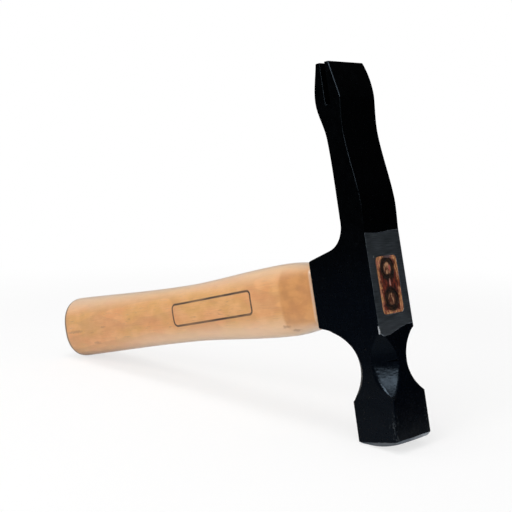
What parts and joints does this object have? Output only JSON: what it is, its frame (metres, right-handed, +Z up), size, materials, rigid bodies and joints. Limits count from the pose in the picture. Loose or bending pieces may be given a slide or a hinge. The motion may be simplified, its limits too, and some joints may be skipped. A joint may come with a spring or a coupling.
{
  "type": "scutch hammer",
  "caption": "Single-ended scutch hammer: forged head with a square striking poll and a slotted nose that holds a scutch comb, on a wedged hardwood handle.",
  "frame": {"origin": "on the bench, under the middle of the box round the standing hammer", "axes": "+X from the butt of the handle towards the head, +Z up, +Y across the head; the hammer stands on the rear edge of its poll and on the butt, as in the picture, so the head leans 12.4 degrees back over the handle"},
  "size_m": [0.2832, 0.0324, 0.1811],
  "materials": {
    "head_paint": "semi-gloss black paint on forged steel, bare ground steel on the face round the eye and on the rim of the poll",
    "handle_wood": "clear satin lacquer on ash or hickory",
    "wedge_steel": "dark oiled steel"
  },
  "bodies": {
    "root": {"head": "head_paint", "handle": "handle_wood", "ring_wedge_upper": "wedge_steel", "ring_wedge_lower": "wedge_steel"}
  },
  "joints": []
}
